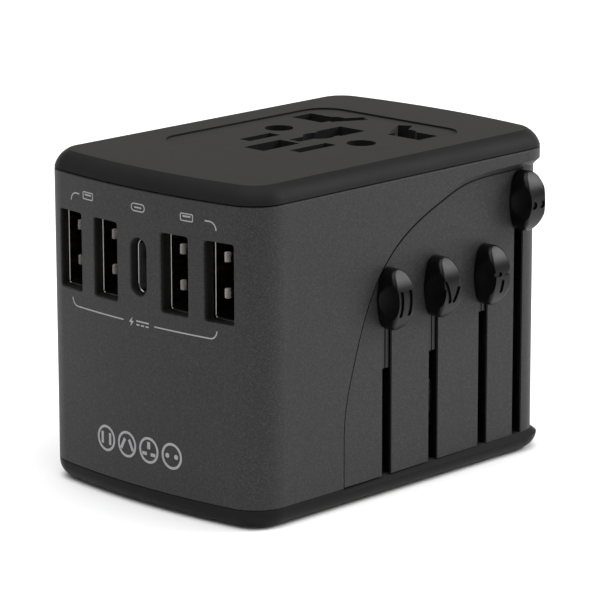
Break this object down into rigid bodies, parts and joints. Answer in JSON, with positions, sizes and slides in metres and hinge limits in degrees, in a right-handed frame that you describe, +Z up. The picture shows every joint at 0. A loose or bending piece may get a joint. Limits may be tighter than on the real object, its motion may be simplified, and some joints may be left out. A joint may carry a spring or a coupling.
{
  "type": "universal travel adapter",
  "caption": "Block-shaped universal travel adapter with a multi-standard socket on top, USB ports on one end and slide-out plugs worked by knobs on one side.",
  "frame": {"origin": "middle of the flat underside of the casing", "axes": "+Z up out of the socket face, -Y out of the USB ports, +X out of the slider face"},
  "size_m": [0.0539, 0.075, 0.0557],
  "materials": {
    "sleeve_plastic": "satin dark grey plastic with a fine sparkle",
    "cap_plastic": "soft-touch black plastic",
    "knob_plastic": "black satin plastic",
    "frame_plastic": "plain grey moulding",
    "plated_pins": "nickel-plated brass",
    "pin_insulation": "black insulation",
    "contact_brass": "stamped brass strip",
    "gold_contacts": "gold-plated contacts",
    "port_steel": "stamped steel shell",
    "port_tongue": "black moulded tongue",
    "usb_c_tongue": "pale blue-grey tongue",
    "circuit_board": "green circuit board",
    "ferrite": "pressed ferrite",
    "coil_tape": "yellow tape over the winding",
    "capacitor_can": "sleeved aluminium can",
    "fuse_ceramic": "glazed ceramic",
    "plated_steel": "zinc-plated steel",
    "print_ink": "pad-printed grey ink"
  },
  "bodies": {
    "casing": {"base_cap": "cap_plastic", "base_screws": "plated_steel", "choke_coil": "ferrite", "contact_block": "frame_plastic", "earth_bus_bar": "contact_brass", "earth_socket_contact": "contact_brass", "fuse_clips": "contact_brass", "fuse_end_caps": "plated_steel", "fuse_tube": "fuse_ceramic", "inner_frame": "frame_plastic", "live_bus_bar": "contact_brass", "live_socket_contact": "contact_brass", "mains_capacitor": "capacitor_can", "neutral_bus_bar": "contact_brass", "neutral_socket_contact": "contact_brass", "output_capacitor": "capacitor_can", "sleeve": "sleeve_plastic", "slot_liners": "knob_plastic", "socket_panel": "cap_plastic", "top_cap": "cap_plastic", "transformer_coil": "coil_tape", "transformer_core": "ferrite", "usb_a_contacts_1": "gold_contacts", "usb_a_contacts_2": "gold_contacts", "usb_a_contacts_3": "gold_contacts", "usb_a_contacts_4": "gold_contacts", "usb_a_shell_1": "port_steel", "usb_a_shell_2": "port_steel", "usb_a_shell_3": "port_steel", "usb_a_shell_4": "port_steel", "usb_a_tongue_1": "port_tongue", "usb_a_tongue_2": "port_tongue", "usb_a_tongue_3": "port_tongue", "usb_a_tongue_4": "port_tongue", "usb_board": "circuit_board", "usb_c_shell": "port_steel", "usb_c_tongue": "usb_c_tongue"},
    "us_plug": {"us_plug_carrier": "frame_plastic", "us_slider_knob": "knob_plastic", "us_blade_live": "plated_pins", "us_blade_neutral": "plated_pins"},
    "aus_plug": {"aus_plug_carrier": "frame_plastic", "aus_slider_knob": "knob_plastic", "aus_blade_live": "plated_pins", "aus_blade_neutral": "plated_pins"},
    "uk_plug": {"uk_plug_carrier": "frame_plastic", "uk_slider_knob": "knob_plastic", "uk_pin_live": "plated_pins", "uk_pin_neutral": "plated_pins", "uk_pin_earth": "plated_pins", "uk_pin_sleeves": "pin_insulation"},
    "eu_plug": {"eu_plug_carrier": "knob_plastic", "eu_slider_knob": "knob_plastic", "eu_pin_live": "plated_pins", "eu_pin_neutral": "plated_pins", "eu_pin_sleeves": "pin_insulation"}
  },
  "joints": [
    {"name": "us_plug_slide", "type": "slide", "parent": "casing", "child": "us_plug", "axis": [0, 0, -1], "range_m": [0, 0.0179]},
    {"name": "aus_plug_slide", "type": "slide", "parent": "casing", "child": "aus_plug", "axis": [0, 0, -1], "range_m": [0, 0.0187]},
    {"name": "uk_plug_slide", "type": "slide", "parent": "casing", "child": "uk_plug", "axis": [0, 0, -1], "range_m": [0, 0.023]},
    {"name": "eu_plug_slide", "type": "slide", "parent": "casing", "child": "eu_plug", "axis": [0, 0, -1], "range_m": [0, 0.033]}
  ]
}
